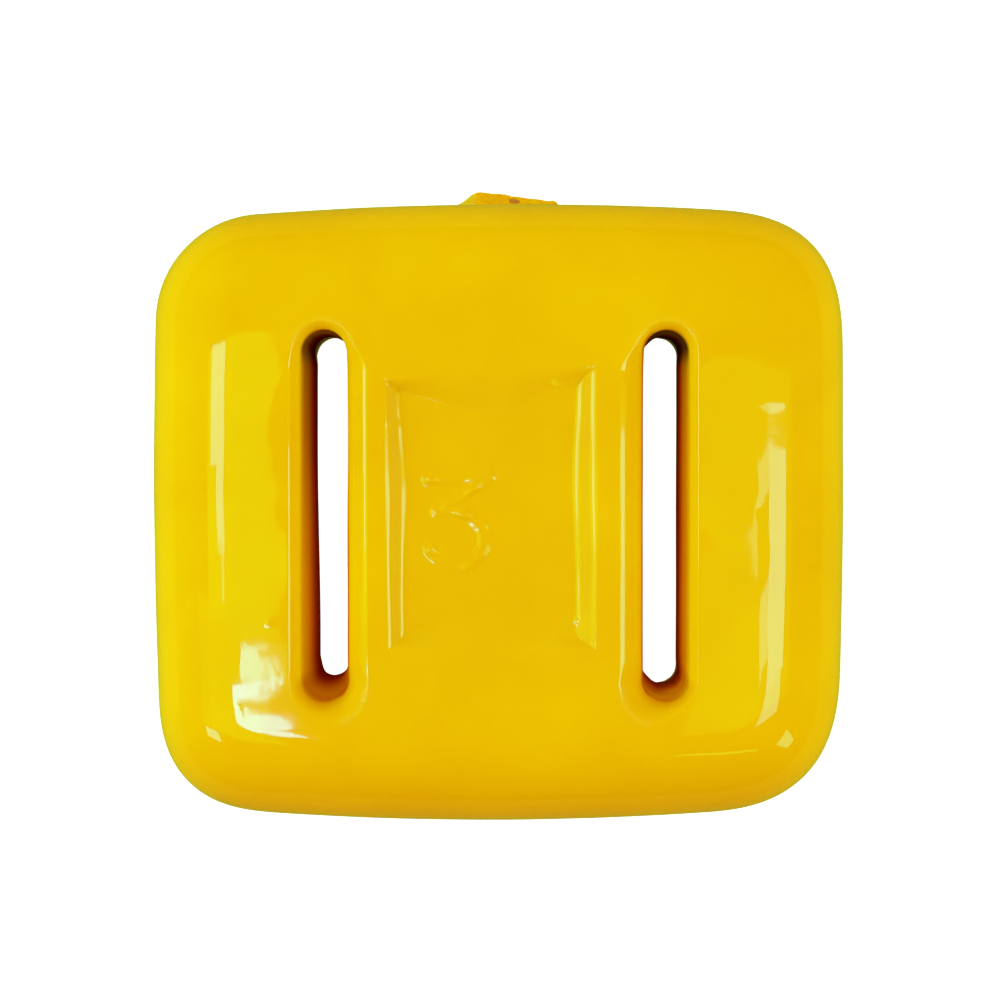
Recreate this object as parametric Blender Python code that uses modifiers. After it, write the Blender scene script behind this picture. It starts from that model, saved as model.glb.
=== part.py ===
"""Coated lead weight for a 50 mm webbing belt.

Metres, +Z up. The weight lies on its back: X is its width, Y its height as it
hangs, Z its thickness, and the face with the sunken panel looks up. The
origin is under the middle of its box, on the plane that it rests on.
"""

import math

import bmesh
import bpy
import numpy as np
from mathutils import Vector

# ------------------------------------------------------------- dimensions
WIDTH = 0.1090  # across the slots
HEIGHT = 0.0975  # along the slots, without the cut tab
THICK = 0.0350
FRONT_ROUND = 0.0120  # edge rounding towards the panel side
BACK_ROUND = 0.0080  # edge rounding towards the flat back
# How square each corner of the outline is: the power of a superellipse
CORNER_POWER = {(1, 1): 6.3, (-1, 1): 5.9, (-1, -1): 5.65, (1, -1): 5.1}
OUTLINE_POINTS = 92

COAT = 0.0015  # soft PVC skin
GAP = 0.0003  # between touching pieces

SLOT_WIDTH = 0.0073  # for webbing up to 4 mm thick, doubled back
SLOT_LENGTH = 0.0575  # for webbing 50 mm wide
SLOT_SPACING = 0.0523  # centre to centre
SLOT_CENTRE = (-0.0003, -0.0002)  # the pair sits a little off the middle
SLOT_ROUND = 0.0026  # rim rounding on both faces
SLOT_END_STEPS = 9

PANEL_CENTRE = (-0.0010, 0.0005)
PANEL_TOP = (0.0314, 0.0423)  # at the face
PANEL_FLOOR = (0.0262, 0.0388)
PANEL_DEPTH = 0.0012

TAB_X = (-0.0064, 0.0104)  # the cut hanging tab on the top edge
TAB_RISE = 0.0021
TAB_FALL = 0.0018  # how far the cut runs down towards the panel side
TAB_Z = (0.0130, 0.0170)
WIRE_RADIUS = 0.0009
WIRE_X = 0.0026
WIRE_Z = 0.0154
WIRE_BEND = 0.0035
WIRE_DEPTH = 0.0190  # below the top edge
WIRE_HOOK = 0.0080

# ------------------------------------------------------------- clear scene
for old in list(bpy.data.objects):
    bpy.data.objects.remove(old, do_unlink=True)

PARTS = bpy.data.collections.new("belt_weight")
CUTTERS = bpy.data.collections.new("cutters")
bpy.context.scene.collection.children.link(PARTS)
bpy.context.scene.collection.children.link(CUTTERS)

assembly = bpy.data.objects.new("assembly", None)
PARTS.objects.link(assembly)


# ------------------------------------------------------------- helpers
def material(name, colour, roughness, metallic):
    made = bpy.data.materials.new(name)
    made.use_nodes = True
    shader = made.node_tree.nodes["Principled BSDF"]
    shader.inputs["Base Color"].default_value = (*colour, 1.0)
    shader.inputs["Roughness"].default_value = roughness
    shader.inputs["Metallic"].default_value = metallic
    return made


def cutter(obj):
    """Keeps a guide shape out of the finished weight."""
    for holder in list(obj.users_collection):
        holder.objects.unlink(obj)
    CUTTERS.objects.link(obj)
    obj.hide_render = True
    obj.display_type = "WIRE"
    return obj


def outline(inset):
    """Points round the weight as seen from the front, evenly spread by length and by turning, moved in by inset."""
    a, b = WIDTH / 2, HEIGHT / 2
    t = np.linspace(0, 2 * math.pi, 7201)[:-1] + math.pi / 7200
    c, s = np.cos(t), np.sin(t)
    power = np.array([CORNER_POWER[(int(np.sign(i)), int(np.sign(j)))] for i, j in zip(c, s)])
    reach = (np.abs(c / a) ** power + np.abs(s / b) ** power) ** (-1 / power)
    p = np.stack([reach * c, reach * s], axis=1)
    step = np.roll(p, -1, axis=0) - p
    heading = np.unwrap(np.arctan2(step[:, 1], step[:, 0]))
    turn = np.abs(np.diff(np.concatenate([heading, [heading[0] + 2 * math.pi]])))
    length = np.linalg.norm(step, axis=1)
    weight = 0.42 * length / length.sum() + 0.58 * turn / turn.sum()
    along = np.concatenate([[0], np.cumsum(weight)])
    at = np.linspace(0, along[-1], OUTLINE_POINTS, endpoint=False)
    ring = np.concatenate([p, p[:1]])
    x, y = np.interp(at, along, ring[:, 0]), np.interp(at, along, ring[:, 1])
    side = np.stack([np.roll(x, -1) - np.roll(x, 1), np.roll(y, -1) - np.roll(y, 1)], axis=1)
    side /= np.linalg.norm(side, axis=1)[:, None]
    return [(px - inset * ty, py + inset * tx) for px, py, (tx, ty) in zip(x, y, side)]


def prism(name, points, low, high):
    """A capped disc laid out along the points and raised into a block. Returns the object and its bmesh's edge rings."""
    bm = bmesh.new()
    bmesh.ops.create_circle(bm, cap_ends=True, segments=len(points), radius=1.0)
    bm.verts.ensure_lookup_table()
    order = sorted(bm.verts, key=lambda v: math.atan2(v.co.y, v.co.x) % (2 * math.pi))
    for vert, (x, y) in zip(order, points):
        vert.co = Vector((x, y, low))
    raised = bmesh.ops.extrude_face_region(bm, geom=list(bm.faces), use_keep_orig=True)
    top = [v for v in raised["geom"] if isinstance(v, bmesh.types.BMVert)]
    bmesh.ops.translate(bm, verts=top, vec=(0, 0, high - low))
    bmesh.ops.recalc_face_normals(bm, faces=list(bm.faces))
    mesh = bpy.data.meshes.new(name)
    weights = bm.edges.layers.float.new("bevel_weight_edge")
    for edge in bm.edges:
        heights = [v.co.z for v in edge.verts]
        if min(heights) > high - 1e-6:
            edge[weights] = 1.0
        elif max(heights) < low + 1e-6:
            edge[weights] = 0.5
    bm.to_mesh(mesh)
    bm.free()
    obj = bpy.data.objects.new(name, mesh)
    PARTS.objects.link(obj)
    return obj


def set_back_weight(obj, low, share):
    """The back edge's rounding as a share of the front's."""
    held = obj.data.attributes["bevel_weight_edge"].data
    for edge in obj.data.edges:
        if all(obj.data.vertices[i].co.z < low + 1e-6 for i in edge.vertices):
            held[edge.index].value = share


def boolean(obj, other, operation, name):
    cut = obj.modifiers.new(name, "BOOLEAN")
    cut.operation = operation
    cut.object = other
    cut.solver = "EXACT"
    return cut


def stadium(centre, width, length):
    """The slot's outline: two half circles joined by straight sides."""
    r, reach = width / 2, (length - width) / 2
    points = []
    for k in range(SLOT_END_STEPS + 1):
        turn = math.pi * k / SLOT_END_STEPS
        points.append((centre[0] + r * math.cos(turn), centre[1] + reach + r * math.sin(turn)))
    for k in range(SLOT_END_STEPS + 1):
        turn = math.pi + math.pi * k / SLOT_END_STEPS
        points.append((centre[0] + r * math.cos(turn), centre[1] - reach + r * math.sin(turn)))
    # start at the point nearest to the +X direction seen from the centre
    return points


def slot_cutter(name, side, inset):
    centre = (SLOT_CENTRE[0] + side * SLOT_SPACING / 2, SLOT_CENTRE[1])
    points = stadium((0.0, 0.0), SLOT_WIDTH + 2 * inset, SLOT_LENGTH + 2 * inset)
    points.sort(key=lambda p: math.atan2(p[1], p[0]) % (2 * math.pi))
    obj = prism(name, points, -0.010, THICK + 0.010)
    obj.location = (centre[0], centre[1], 0)
    return cutter(obj)


def panel_cutter(name, inset):
    """A shallow tray with sloping sides, wider towards the face, carried on past it."""
    slope = ((PANEL_TOP[0] - PANEL_FLOOR[0]) / PANEL_DEPTH, (PANEL_TOP[1] - PANEL_FLOOR[1]) / PANEL_DEPTH)
    grow = 0.35 * inset
    floor_z, rise = THICK - inset - PANEL_DEPTH, PANEL_DEPTH + 0.004
    bm = bmesh.new()
    bmesh.ops.create_cube(bm, size=1.0)
    for vert in bm.verts:
        raised = vert.co.z > 0
        wide = PANEL_FLOOR[0] + grow + (slope[0] * rise if raised else 0)
        tall = PANEL_FLOOR[1] + grow + (slope[1] * rise if raised else 0)
        vert.co = Vector((vert.co.x * wide, vert.co.y * tall, floor_z + (rise if raised else 0)))
    mesh = bpy.data.meshes.new(name)
    bm.to_mesh(mesh)
    bm.free()
    obj = bpy.data.objects.new(name, mesh)
    PARTS.objects.link(obj)
    obj.location = (PANEL_CENTRE[0], PANEL_CENTRE[1], 0)
    return cutter(obj)


def block(name, inset):
    """The weight's form, moved in by inset all over: the skin at 0, the casting under it at the skin and the gap."""
    low, high = inset, THICK - inset
    obj = prism(name, outline(inset), low, high)
    set_back_weight(obj, low, (BACK_ROUND - inset) / (FRONT_ROUND - inset))
    edge = obj.modifiers.new("edge_rounding", "BEVEL")
    edge.limit_method = "WEIGHT"
    edge.width = FRONT_ROUND - inset
    edge.segments = 7
    edge.use_clamp_overlap = False
    for side, where in ((-1, "left"), (1, "right")):
        boolean(obj, slot_cutter(f"{name}_slot_{where}", side, inset), "DIFFERENCE", f"slot_{where}")
    rim = obj.modifiers.new("slot_rims", "BEVEL")
    rim.limit_method = "ANGLE"
    rim.angle_limit = math.radians(60)
    rim.width = SLOT_ROUND - inset
    rim.segments = 3
    rim.use_clamp_overlap = False
    boolean(obj, panel_cutter(f"{name}_panel", inset), "DIFFERENCE", "panel")
    obj.parent = assembly
    return obj


def wire(name, radius, beyond, top):
    """The hanging wire: straight down from the tab, then hooked aside so that the casting holds it."""
    y_end = HEIGHT / 2 - WIRE_DEPTH
    path = [Vector((WIRE_X, top, WIRE_Z)), Vector((WIRE_X, HEIGHT / 2 - 0.005, WIRE_Z)), Vector((WIRE_X, y_end + WIRE_BEND, WIRE_Z))]
    for k in range(1, 7):
        turn = math.pi / 2 * k / 6
        path.append(Vector((WIRE_X - WIRE_BEND * (1 - math.cos(turn)), y_end + WIRE_BEND * (1 - math.sin(turn)), WIRE_Z)))
    path.append(Vector((WIRE_X - WIRE_HOOK - beyond, y_end, WIRE_Z)))
    curve = bpy.data.curves.new(name, "CURVE")
    curve.dimensions = "3D"
    curve.bevel_depth = radius
    curve.bevel_resolution = 2
    curve.use_fill_caps = True
    spline = curve.splines.new("POLY")
    spline.points.add(len(path) - 1)
    for point, at in zip(spline.points, path):
        point.co = (*at, 1.0)
    obj = bpy.data.objects.new(name, curve)
    PARTS.objects.link(obj)
    return obj


def to_mesh(obj):
    """The curve as a closed mesh, its caps welded to its sides."""
    graph = bpy.context.evaluated_depsgraph_get()
    mesh = bpy.data.meshes.new_from_object(obj.evaluated_get(graph))
    bm = bmesh.new()
    bm.from_mesh(mesh)
    bmesh.ops.remove_doubles(bm, verts=list(bm.verts), dist=1e-6)
    bmesh.ops.recalc_face_normals(bm, faces=list(bm.faces))
    bm.to_mesh(mesh)
    bm.free()
    name, placed = obj.name, obj.matrix_world.copy()
    bpy.data.objects.remove(obj, do_unlink=True)
    made = bpy.data.objects.new(name, mesh)
    made.matrix_world = placed
    PARTS.objects.link(made)
    return made


def smooth(obj, degrees=35):
    obj.data.shade_smooth()
    obj.data.set_sharp_from_angle(angle=math.radians(degrees))


# ------------------------------------------------------------- hanging wire
wire_top = HEIGHT / 2 + 0.00045
hanger = to_mesh(wire("hanger_wire", WIRE_RADIUS, 0.0, wire_top))
hanger.data.materials.append(material("cut_steel", (0.30, 0.16, 0.09), 0.65, 0.8))
hanger.parent = assembly
smooth(hanger)

# ------------------------------------------------------------- lead casting
core = block("lead_core", COAT + GAP)
core_bore = cutter(to_mesh(wire("core_wire_bore", WIRE_RADIUS + GAP, GAP, HEIGHT / 2 + 0.004)))
boolean(core, core_bore, "DIFFERENCE", "wire_bore")
core.data.materials.append(material("cast_lead", (0.23, 0.24, 0.26), 0.55, 0.9))
smooth(core)

# ------------------------------------------------------------- PVC skin
skin = block("pvc_coating", 0.0)
shell = skin.modifiers.new("skin", "SOLIDIFY")
shell.thickness = COAT
shell.offset = -1.0
shell.use_even_offset = True

# The cut tab: a flat outline on the top edge, its cut face leaning towards the front
tab_curve = bpy.data.curves.new("hanging_tab", "CURVE")
tab_curve.dimensions = "2D"
tab_curve.fill_mode = "BOTH"
tab_curve.extrude = (TAB_Z[1] - TAB_Z[0]) / 2
tab_line = tab_curve.splines.new("POLY")
foot = HEIGHT / 2 - 0.0012
tab_points = [
    (TAB_X[0], foot),
    (TAB_X[1], foot),
    (TAB_X[1] - 0.0010, HEIGHT / 2 + 0.28 * TAB_RISE),
    (TAB_X[0] + 0.0030, HEIGHT / 2 + TAB_RISE),
    (TAB_X[0] + 0.0022, HEIGHT / 2 + 0.92 * TAB_RISE),
]
tab_line.points.add(len(tab_points) - 1)
for point, (x, y) in zip(tab_line.points, tab_points):
    point.co = (x, y, 0, 1)
tab_line.use_cyclic_u = True
tab = bpy.data.objects.new("hanging_tab", tab_curve)
tab.location = (0, 0, (TAB_Z[0] + TAB_Z[1]) / 2)
PARTS.objects.link(tab)
bpy.context.view_layer.update()
tab = to_mesh(tab)
for vert in tab.data.vertices:  # the cut runs down towards the front
    if vert.co.y > HEIGHT / 2 and vert.co.z > 0:
        vert.co.y = max(vert.co.y - TAB_FALL, foot + 0.0001)
cutter(tab)
boolean(skin, tab, "UNION", "tab")

# The hole that the wire comes out of, which also opens the skin's inside
bpy.ops.mesh.primitive_cylinder_add(vertices=16, radius=WIRE_RADIUS + GAP, depth=0.012)
hole = bpy.context.active_object
hole.name = "coating_wire_hole"
hole.rotation_euler = (math.pi / 2, 0, 0)
hole.location = (WIRE_X, HEIGHT / 2 - 0.0025 + 0.006, WIRE_Z)
cutter(hole)
boolean(skin, hole, "DIFFERENCE", "wire_hole")
skin.data.materials.append(material("yellow_pvc", (0.82, 0.53, 0.003), 0.18, 0.0))
smooth(skin)
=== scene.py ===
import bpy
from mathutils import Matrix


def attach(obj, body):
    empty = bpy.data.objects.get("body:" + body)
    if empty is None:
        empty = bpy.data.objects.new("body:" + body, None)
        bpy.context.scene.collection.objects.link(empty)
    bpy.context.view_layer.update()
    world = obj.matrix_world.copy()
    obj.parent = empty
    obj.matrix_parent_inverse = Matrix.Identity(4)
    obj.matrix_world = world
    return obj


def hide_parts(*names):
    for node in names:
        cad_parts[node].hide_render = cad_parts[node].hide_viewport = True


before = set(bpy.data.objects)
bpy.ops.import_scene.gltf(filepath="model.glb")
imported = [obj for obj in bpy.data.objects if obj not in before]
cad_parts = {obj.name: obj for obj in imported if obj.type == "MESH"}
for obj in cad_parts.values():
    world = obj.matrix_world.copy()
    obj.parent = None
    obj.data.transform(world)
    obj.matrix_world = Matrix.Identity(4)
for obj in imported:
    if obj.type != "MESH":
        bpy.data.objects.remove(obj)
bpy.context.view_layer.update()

import math

import bmesh
import bpy
import numpy as np
from mathutils import Matrix, Quaternion, Vector

MM = 0.001

# ---------------------------------------------------------------- the form
# All lengths in this part are in millimetres. X is the width, Y the height as
# the weight hangs, Z the thickness; the panel side looks up, the back is at 0.
THICK = 35.0
# Each side of the outline: its reach, how far it falls back 45 or 50 mm along it, and where it stands out most
RIGHT, LEFT = (54.60, 0.66, 7.5), (54.45, 1.13, 4.5)
UPPER, LOWER = (48.72, 2.12, 3.8), (48.72, 2.30, -2.1)
# Each corner: its radius and how square it is
CORNERS = {(1, 1): (22.5, 3.04), (-1, 1): (15.6, 2.10), (-1, -1): (18.6, 2.83), (1, -1): (22.1, 2.76)}
HALF_W, HALF_H = 54.45, 48.72
EDGE = 2.25  # how square the rounded edges' section is
FRONT_R, BACK_R = 15.0, 8.5
COAT = 1.5

SLOT_X = (-26.55, 25.95)
SLOT_Y = -0.2
SLOT_R = (3.55, 3.48)
SLOT_REACH = 25.1
RIM_IN, RIM_OUT = (3.3, 3.8), (1.75, 1.40)  # each slot's rim rounding towards the bar and away from it
RIM_EDGE = 1.42  # how square the rims' section is; under 2 it starts with a crisp bend

PANEL_X, PANEL_Y = -1.05, 0.5
PANEL_W, PANEL_H = 15.4, 21.5  # half sizes
PANEL_EASE = 0.33  # how rounded its walls' bends are
PANEL_MITRE = 0.10  # how rounded the creases are where two walls meet
PANEL_DEEP = 1.35


def smoothstep(x):
    x = np.clip(x, 0.0, 1.0)
    return x * x * (3 - 2 * x)


def soft_ramp(x, ease):
    """0 below 0 and 1 above 1 with a straight run between, its two bends rounded over ease."""
    def bend(t):
        return np.where(t <= -ease, 0.0, np.where(t >= ease, t, (t + ease) ** 2 / (4 * ease)))
    return bend(x) - bend(x - 1)


def rounded(a, b, r, power=EDGE):
    """The distance to where two half spaces meet in an edge rounded to r."""
    u, v = np.maximum(a + r, 0.0), np.maximum(b + r, 0.0)
    both = (u ** power + v ** power) ** (1 / power)
    return np.minimum(np.maximum(a, b), -r) + both


def by_corner(x, y, n):
    """The corners' n-th number, chosen by quadrant."""
    return np.where(x >= 0, np.where(y >= 0, CORNERS[(1, 1)][n], CORNERS[(1, -1)][n]), np.where(y >= 0, CORNERS[(-1, 1)][n], CORNERS[(-1, -1)][n]))


def side_depth(x, y):
    """How far (x, y) is inside the outline."""
    a = np.where(
        x >= 0,
        x - RIGHT[0] + RIGHT[1] * ((y - RIGHT[2]) / 45) ** 2,
        -x - LEFT[0] + LEFT[1] * ((y - LEFT[2]) / 45) ** 2,
    )
    b = np.where(
        y >= 0,
        y - UPPER[0] + UPPER[1] * ((x - UPPER[2]) / 50) ** 2,
        -y - LOWER[0] + LOWER[1] * ((x - LOWER[2]) / 50) ** 2,
    )
    return -rounded(a, b, by_corner(x, y, 0), by_corner(x, y, 1))


def waves(x, y, z, seed, size, count=7):
    """A gentle, repeatable unevenness between about -1 and 1."""
    rng = np.random.default_rng(seed)
    total = np.zeros_like(x)
    for _ in range(count):
        d = rng.normal(size=3)
        d /= np.linalg.norm(d)
        total += np.sin((x * d[0] + y * d[1] + z * d[2]) * 2 * math.pi / (size * rng.uniform(0.7, 1.5)) + rng.uniform(0, 6.28))
    return total / math.sqrt(count)


def slot_field(x, y, k):
    """Positive inside slot k, and the rim rounding there."""
    dx = x - SLOT_X[k]
    dy = y - SLOT_Y
    along = np.clip(dy, -SLOT_REACH, SLOT_REACH)
    s = SLOT_R[k] - np.hypot(dx, dy - along)
    inward = (1 if k == 0 else -1) * dx
    rim = RIM_OUT[k] + (RIM_IN[k] - RIM_OUT[k]) * smoothstep(0.5 + inward / 8)
    rim = rim + (1.25 - rim) * smoothstep((y - SLOT_Y - 22.0) / 5.0)
    return s, rim


def rim_edge(x, y, k):
    """How square the rim's section is; the less, the crisper the bend that it starts with. It is softest along the bar."""
    inward = (1 if k == 0 else -1) * (x - SLOT_X[k])
    return RIM_EDGE + 0.33 * smoothstep(inward / 3.0) - smoothstep((np.abs(y - SLOT_Y) - 22.0) / 4.0) * (0.10 + 0.33 * smoothstep(inward / 3.0))


def top_height(x, y):
    """The panel side without its panel: a hardly domed face, a little lower on the bar between the slots."""
    dome = 0.35 * (x / HALF_W) ** 2 + 0.25 * (y / HALF_H) ** 2
    bar = smoothstep((25.0 - np.abs(x + 0.3)) / 6.0) * smoothstep((33.0 - np.abs(y)) / 7.0)
    return THICK - dome - 0.30 * bar


def field(x, y, z, inset=0.0):
    """Negative inside the weight. With inset, the same form moved in by so much."""
    q = -side_depth(x, y) + inset
    top = z - top_height(x, y) + inset
    low = -z + inset
    body = np.maximum(rounded(top, q, FRONT_R - inset), rounded(low, q, BACK_R - inset))
    for k in (0, 1):
        s, rim = slot_field(x, y, k)
        s = s + inset
        rim = np.maximum(rim - inset, 0.5)
        power = rim_edge(x, y, k)
        body = np.maximum(body, np.maximum(rounded(top, s, rim, power), rounded(low, s, rim, power)))
    return body


# ---------------------------------------------------------------- the details
TOP_EDGE = 48.75
WIRE_X, WIRE_Z, WIRE_R = 2.6, 15.4, 0.9
WIRE_BEND, WIRE_DEPTH, WIRE_HOOK = 3.5, 19.0, 8.0
STUB_BACK, STUB_SLOPE = 13.2, 0.53  # where the cut starts, and how fast it falls towards the panel side
STUB_LINE = [  # the cut stub's outline seen from the panel side: along X, and how far it stands off the edge
    (-7.9, 0.0), (-7.4, 0.50), (-6.84, 0.95), (-6.19, 1.15), (-5.54, 1.56), (-5.06, 1.93), (-4.57, 2.34), (-4.09, 2.74), (-3.6, 3.03), (-2.95, 3.08),
    (-1.98, 2.95), (0.28, 2.67), (2.23, 2.37), (4.17, 2.09), (6.11, 1.87), (8.05, 1.58), (8.6, 1.66), (9.1, 1.66), (9.5, 1.30), (9.8, 0.60), (10.1, 0.0),
]


def curve_through(points, steps):
    """A smooth line through the given points."""
    p = np.array([2 * np.array(points[0]) - points[1], *points, 2 * np.array(points[-1]) - points[-2]], float)
    out = []
    for i in range(1, len(p) - 2):
        for t in np.linspace(0, 1, steps, endpoint=False):
            a, b, c, d = p[i - 1 : i + 3]
            out.append(0.5 * (2 * b + (c - a) * t + (2 * a - 5 * b + 4 * c - d) * t * t + (3 * b - a - 3 * c + d) * t ** 3))
    return np.array(out + [p[-2]])


def line_distance(x, y, line):
    best = np.full(x.shape, 1e9)
    for (ax, ay), (bx, by) in zip(line[:-1], line[1:]):
        ux, uy = bx - ax, by - ay
        t = np.clip(((x - ax) * ux + (y - ay) * uy) / (ux * ux + uy * uy), 0, 1)
        best = np.minimum(best, np.hypot(x - ax - t * ux, y - ay - t * uy))
    return best


# The numeral 3: a flat-topped form with a straight slanting middle stroke
NUMERAL = [
    np.array([(-10.45, 5.55), (-1.25, 5.75)]),
    np.array([(-1.25, 5.75), (-8.75, 0.75)]),
    curve_through([(-9.0, 0.7), (-6.1, 0.5), (-3.5, -0.5), (-2.05, -2.6), (-2.0, -4.8), (-3.1, -6.6), (-4.7, -7.7), (-6.4, -8.1), (-8.2, -7.5), (-10.1, -5.4)], 4),
]


def soft_min(a, b, k):
    h = np.clip(0.5 + (b - a) / (2 * k), 0, 1)
    return b + (a - b) * h - k * h * (1 - h)


def panel_sink(x, y):
    """How deep the sunken panel is, from 0 at the face to 1 on its floor."""
    # each wall runs between an outer and an inner line, neither of them quite straight
    left = -16.80 + (13.3 - y) * 0.0149
    left_wide = 1.75 + 0.60 * np.exp(-(((y - 3.0) / 7.5) ** 2))
    right = 14.82 + 0.14 * np.exp(-(((y - 2.0) / 9.0) ** 2))
    right_wide = 2.35 + 0.70 * np.exp(-(((y - 5.0) / 8.5) ** 2))
    across = np.where(x < PANEL_X, (x - left) / left_wide, (right - x) / right_wide)
    # near its upper end the left wall's bends are sharper
    ease = PANEL_EASE * (1 - 0.88 * smoothstep((PANEL_X - x) / 4.0) * smoothstep((3.4 - np.abs(y - 16.9)) / 1.4))
    # the top and bottom walls lean over more between the corners
    share = np.clip((x + 16.4) / 30.6, 0, 1)
    lean = smoothstep((14.5 - np.abs(x - PANEL_X)) / 12.0)
    top = (20.5 + 1.9 * share - y) / (1.7 + 0.6 * share + 3.2 * lean)
    bottom = (y + 20.5) / (1.7 + 2.8 * lean)
    rise = 1 - 0.16 * smoothstep((np.abs(y - PANEL_Y) - 7.0) / 11.0)
    return rise * soft_ramp(soft_min(across, np.minimum(top, bottom), PANEL_MITRE), ease)


LUMPS = [  # lumps in the skin: place, half width and height across it, and how tall
    (-16.4, 20.6, 0.55, 0.55, 0.13), (-14.8, 19.8, 0.5, 0.55, 0.13), (11.8, 20.2, 0.5, 0.5, 0.13), (14.3, 22.5, 0.5, 0.5, 0.13),
    (-34.8, -16.4, 0.5, 0.4, 0.09), (12.2, -16.2, 0.4, 0.4, 0.08), (13.9, -20.3, 0.5, 0.5, 0.12),
    # on the numeral
    (-9.9, 5.1, 0.9, 0.8, 0.06), (-2.6, 5.6, 0.8, 0.7, 0.04), (-9.6, 0.4, 0.6, 0.9, 0.06), (-3.4, -1.6, 0.7, 0.45, 0.05),
    (-10.3, -5.0, 0.8, 0.9, 0.05), (-9.0, -4.6, 0.5, 0.6, -0.05),
    # ripples on the right-hand side
    (41.2, 17.3, 2.9, 0.95, 0.018), (42.3, -5.5, 1.1, 2.4, 0.016), (42.8, -21.5, 1.3, 3.2, 0.022), (43.2, -17.2, 2.4, 0.8, 0.012), (39.4, 1.0, 0.5, 1.6, 0.020),
]


def face_relief(x, y):
    """The height of the panel side over its plain form: the sunken panel, the raised numeral and the skin's lumps over them."""
    sink = panel_sink(x, y)
    relief = -PANEL_DEEP * sink
    near = (np.abs(x + 5.6) < 8.5) & (np.abs(y + 1.2) < 10.5)
    if near.any():
        u, v = x[near], y[near]
        d = np.full(u.shape, 1e9)
        for stroke in NUMERAL:
            d = np.minimum(d, line_distance(u, v, stroke))
        # the skin lies thicker over the bowl and hides more of it
        worn = (1 - 0.80 * np.exp(-(((u + 7.6) / 3.4) ** 2) - ((v + 7.8) / 2.4) ** 2)) * (1 - 0.35 * np.exp(-(((u + 2.0) / 1.8) ** 2) - ((v + 4.0) / 3.0) ** 2))
        relief[near] += 0.19 * worn * (1 - smoothstep((d - 0.20) / 1.15)) * (1.0 + 0.45 * waves(u, v, np.zeros_like(u), 31, 4.5, 4))
    for lx, ly, wide, high, tall in LUMPS:
        relief = relief + tall * np.exp(-(((x - lx) / wide) ** 2) - ((y - ly) / high) ** 2)
    return relief


def stub(x, z):
    """How far the cut hanging stub stands off the top edge."""
    rise = np.interp(x, *np.array(STUB_LINE).T)
    cut = rise - (z - STUB_BACK) * STUB_SLOPE + 0.03 * np.sin(x * 2.1 + 0.6) * np.clip(rise, 0, 1)
    behind = rise - (STUB_BACK - z) * 1.7
    return np.maximum(-soft_min(-np.zeros_like(x), -soft_min(cut, behind, 0.10), 0.22) - 0.055, 0.0)


def swell(x, y, z):
    """The slight unevenness of the dipped skin, standing off the form where positive."""
    broad = 0.030 * waves(x, y, z, 3, 30.0) + 0.009 * waves(x, y, z, 5, 13.0) + 0.0022 * waves(x, y, z, 8, 5.5)
    # the two halves of the mould met here, and the skin follows the seam
    wander = 16.8 + 0.5 * waves(x, y, np.zeros_like(x), 11, 45.0, 4)
    outer = smoothstep((6.0 - side_depth(x, y)) / 3.0)
    seam = 0.10 * np.exp(-(((z - wander) / 0.75) ** 2)) * outer
    # the dip ran down and gathered at the slots' lower ends before it set, more in the left slot
    pooled = 0.0
    for k, much in ((0, 2.1), (1, 0.05)):
        s, _ = slot_field(x, y, k)
        wall = np.exp(-((s / 1.6) ** 2))
        end = smoothstep((SLOT_Y - y - SLOT_REACH + 1.2) / 3.6)
        pooled = pooled + much * wall * end * smoothstep((32.5 - z) / 17.0)
    s, _ = slot_field(x, y, 0)
    lean = 0.50 * np.exp(-((s / 1.6) ** 2)) * smoothstep((SLOT_X[0] - x) / 2.0) * smoothstep((14.0 - y) / 34.0) * smoothstep((20.0 - z) / 16.0)
    # towards the back the slots' ends close in on the bar's side, and are squarer on the other
    corners = 0.0
    for k in (0, 1):
        s, _ = slot_field(x, y, k)
        inward = (1 if k == 0 else -1) * (x - SLOT_X[k])
        ends = np.abs(y - SLOT_Y)
        wall = np.exp(-((s / 2.0) ** 2))
        closing, opening = np.where(y > 0, (0.7, 0.9)[k], (3.2, 1.35)[k]), np.where(y > 0, (2.5, 1.05)[k], (1.5, 1.05)[k])
        corners = corners + closing * wall * smoothstep((inward + (1.2, 0.4)[k]) / (3.2, 2.6)[k]) * smoothstep((ends - (21.5, 20.6)[k]) / 5.0) * smoothstep((27.0 - z) / 20.0)
        corners = corners - opening * wall * np.exp(-(((inward + 2.4) / 1.5) ** 2) - ((ends - SLOT_REACH - 2.0) / 1.5) ** 2) * smoothstep((26.0 - z) / 14.0)
    flat = smoothstep((z - 1.0) / 5.0)
    under = np.maximum(0.09 + 0.035 * waves(x, y, z, 21, 26.0), 0.01)
    return (broad + seam) * flat + (pooled + lean + corners) * smoothstep((z - 0.3) / 3.0) - (1 - flat) * under


def skin(x, y, z):
    """Negative inside the finished, dipped weight."""
    up = smoothstep((z - 26.0) / 4.0)
    off = smoothstep((y - 40.0) / 4.0)
    return field(x, y - stub(x, z) * off, z - face_relief(x, y) * up) - swell(x, y, z)


def lining(x, y, z):
    """Negative inside the skin's inner wall."""
    return field(x, y, z, COAT)


def casting(x, y, z):
    """Negative inside the lead, which stands clear of the skin by the CAD's gap."""
    return field(x, y, z, COAT + 0.3)


def slope_of(form, p, h=0.02):
    x, y, z = p.T
    return np.stack([
        form(x + h, y, z) - form(x - h, y, z),
        form(x, y + h, z) - form(x, y - h, z),
        form(x, y, z + h) - form(x, y, z - h),
    ], axis=1) / (2 * h)


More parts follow.
